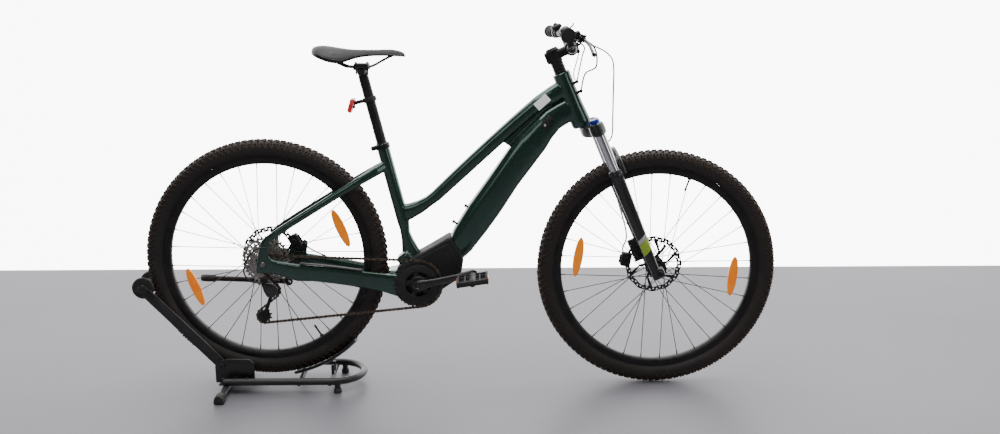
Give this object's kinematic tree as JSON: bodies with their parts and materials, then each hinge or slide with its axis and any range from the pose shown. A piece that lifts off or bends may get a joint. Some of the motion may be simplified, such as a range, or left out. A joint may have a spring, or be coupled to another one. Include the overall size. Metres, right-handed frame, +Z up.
{
  "type": "bicycle on stand",
  "caption": "Low-step electric mountain bicycle with a suspension fork, its rear wheel held in a push-in floor stand.",
  "frame": {"origin": "middle of the whole object's box in plan, on the floor", "axes": "+X forward, +Y to the bicycle's left, +Z up"},
  "size_m": [1.979, 0.7192, 1.12],
  "materials": {
    "stand_paint": "satin",
    "foot_rubber": "matt",
    "frame_paint": "gloss metallic",
    "black_anodised": "satin",
    "black_plastic": "matt",
    "tyre": "matt",
    "steel": "brushed",
    "chain_steel": "worn",
    "stanchion": "polished",
    "saddle_cover": "matt",
    "grip_rubber": "matt",
    "amber": "gloss",
    "red_lens": "gloss",
    "lockout_blue": "anodised",
    "button_grey": "matt",
    "hose": "satin",
    "spoke": "satin"
  },
  "bodies": {
    "stand": {"stand_base": "stand_paint", "stand_feet": "foot_rubber"},
    "stand_arm": {"stand_arms": "stand_paint"},
    "stand_roller": {"stand_roller": "foot_rubber"},
    "frame": {"head_tube": "frame_paint", "top_tube": "frame_paint", "down_tube": "frame_paint", "seat_tube": "frame_paint", "rear_triangle": "frame_paint", "seat_collar": "black_anodised", "battery": "black_plastic", "motor": "black_anodised", "motor_cover": "black_plastic", "rear_axle": "black_anodised", "rear_caliper": "black_anodised", "rear_lines": "hose", "chain": "chain_steel"},
    "seat": {"seatpost": "black_anodised", "saddle_pad": "saddle_cover", "saddle_frame": "black_plastic", "tail_reflector": "red_lens"},
    "crank": {"cranks": "black_anodised", "chainring": "black_anodised"},
    "pedal_right": {"pedal_right": "black_plastic"},
    "pedal_left": {"pedal_left": "black_plastic"},
    "cassette": {"cassette": "steel"},
    "derailleur": {"derailleur_body": "black_anodised"},
    "cage": {"derailleur_cage": "black_anodised"},
    "jockey_upper": {"jockey_upper": "black_plastic"},
    "jockey_lower": {"jockey_lower": "black_plastic"},
    "rear_wheel": {"rear_hub": "black_anodised", "rear_spokes": "spoke", "rear_rim": "black_anodised", "rear_tyre": "tyre", "rear_rotor": "steel", "rear_reflectors": "amber"},
    "steering": {"fork_crown": "black_anodised", "stanchions": "stanchion", "stem": "black_anodised", "handlebar": "black_anodised", "grips": "grip_rubber", "brake_bodies": "black_anodised", "shifter": "black_plastic", "remote": "black_plastic", "front_hose": "hose"},
    "fork_lower": {"fork_lowers": "black_anodised", "front_axle": "black_anodised", "front_caliper": "black_anodised"},
    "front_wheel": {"front_hub": "black_anodised", "front_spokes": "spoke", "front_rim": "black_anodised", "front_tyre": "tyre", "front_rotor": "steel", "front_reflectors": "amber"},
    "lockout": {"lockout_knob": "lockout_blue"},
    "brake_right": {"brake_lever_right": "black_anodised"},
    "brake_left": {"brake_lever_left": "black_anodised"},
    "shift": {"shift_lever": "black_plastic"},
    "button": {"remote_button": "button_grey"},
    "kickstand": {"kickstand": "black_anodised"}
  },
  "joints": [
    {"name": "lift_off", "type": "slide", "parent": "stand", "child": "frame", "axis": [0, 0, 1], "range_m": [0, 0.3]},
    {"name": "arm_swing", "type": "hinge", "parent": "stand", "child": "stand_arm", "pos_m": [-0.729, 0, 0.078], "axis": [0, 1, 0], "range_deg": [-40, 0]},
    {"name": "roller_spin", "type": "hinge", "parent": "stand_arm", "child": "stand_roller", "pos_m": [-0.96, 0, 0.322], "axis": [0, 1, 0], "continuous": true},
    {"name": "crank_spin", "type": "hinge", "parent": "frame", "child": "crank", "pos_m": [-0.119, 0, 0.336], "axis": [0, 1, 0], "continuous": true, "deforming": ["chain"]},
    {"name": "pedal_right_spin", "type": "hinge", "parent": "crank", "child": "pedal_right", "pos_m": [0.04697, 0, 0.37279], "axis": [0, 1, 0], "continuous": true},
    {"name": "pedal_left_spin", "type": "hinge", "parent": "crank", "child": "pedal_left", "pos_m": [-0.28497, 0, 0.2992], "axis": [0, 1, 0], "continuous": true},
    {"name": "cassette_spin", "type": "hinge", "parent": "frame", "child": "cassette", "pos_m": [-0.584, 0, 0.405], "axis": [0, 1, 0], "continuous": true},
    {"name": "gear_shift", "type": "slide", "parent": "frame", "child": "derailleur", "axis": [0, 0.88, -0.475], "range_m": [0, 0.026], "deforming": ["chain"]},
    {"name": "cage_swing", "type": "hinge", "parent": "derailleur", "child": "cage", "pos_m": [-0.562, 0, 0.318], "axis": [0, 1, 0], "range_deg": [-30, 0], "stiffness_Nm_per_rad": 0.5, "springref_deg": 28.65, "deforming": ["chain"]},
    {"name": "jockey_upper_spin", "type": "hinge", "parent": "cage", "child": "jockey_upper", "pos_m": [-0.562, 0, 0.318], "axis": [0, 1, 0], "continuous": true},
    {"name": "jockey_lower_spin", "type": "hinge", "parent": "cage", "child": "jockey_lower", "pos_m": [-0.59, 0, 0.238], "axis": [0, 1, 0], "continuous": true},
    {"name": "rear_wheel_spin", "type": "hinge", "parent": "frame", "child": "rear_wheel", "pos_m": [-0.584, 0, 0.405], "axis": [0, 1, 0], "continuous": true},
    {"name": "steer", "type": "hinge", "parent": "frame", "child": "steering", "pos_m": [0.34106, 0, 0.90511], "axis": [-0.3907, 0, 0.9205], "range_deg": [-60, 60], "deforming": ["rear_lines"]},
    {"name": "fork_travel", "type": "slide", "parent": "steering", "child": "fork_lower", "axis": [-0.3907, 0, 0.9205], "range_m": [0, 0.08], "stiffness_N_per_m": 7000, "springref_m": -0.015, "deforming": ["front_hose"]},
    {"name": "front_wheel_spin", "type": "hinge", "parent": "fork_lower", "child": "front_wheel", "pos_m": [0.616, 0, 0.37], "axis": [0, 1, 0], "continuous": true},
    {"name": "lockout_turn", "type": "hinge", "parent": "steering", "child": "lockout", "pos_m": [0.41143, -0.065, 0.82634], "axis": [-0.3907, 0, 0.9205], "range_deg": [0, 90]},
    {"name": "brake_right_pull", "type": "hinge", "parent": "steering", "child": "brake_right", "pos_m": [0.35817, -0.205, 1.07392], "axis": [-0.6018, 0, -0.7986], "range_deg": [0, 22], "stiffness_Nm_per_rad": 1.5, "springref_deg": -8.59},
    {"name": "brake_left_pull", "type": "hinge", "parent": "steering", "child": "brake_left", "pos_m": [0.35817, 0.205, 1.07392], "axis": [0.6018, 0, 0.7986], "range_deg": [0, 22], "stiffness_Nm_per_rad": 1.5, "springref_deg": -8.59},
    {"name": "shift_push", "type": "hinge", "parent": "steering", "child": "shift", "pos_m": [0.3497, -0.148, 1.058], "axis": [-0.3907, 0, 0.9205], "range_deg": [0, 30], "stiffness_Nm_per_rad": 0.3, "springref_deg": -8.59},
    {"name": "button_press", "type": "slide", "parent": "steering", "child": "button", "axis": [0.3907, 0, -0.9205], "range_m": [0, 0.0012], "stiffness_N_per_m": 400, "springref_m": -0.0006},
    {"name": "seat_height", "type": "slide", "parent": "frame", "child": "seat", "axis": [-0.2436, 0, 0.9699], "range_m": [-0.09, 0.05]},
    {"name": "kickstand_swing", "type": "hinge", "parent": "frame", "child": "kickstand", "pos_m": [-0.54, 0, 0.308], "axis": [0, 1, 0], "range_deg": [-95, 0]}
  ],
  "couplings": [
    {"joint": "cassette_spin", "follows": "crank_spin", "ratio": 3.2727},
    {"joint": "jockey_lower_spin", "follows": "crank_spin", "ratio": 3.2727},
    {"joint": "jockey_upper_spin", "follows": "crank_spin", "ratio": -3.2727}
  ]
}
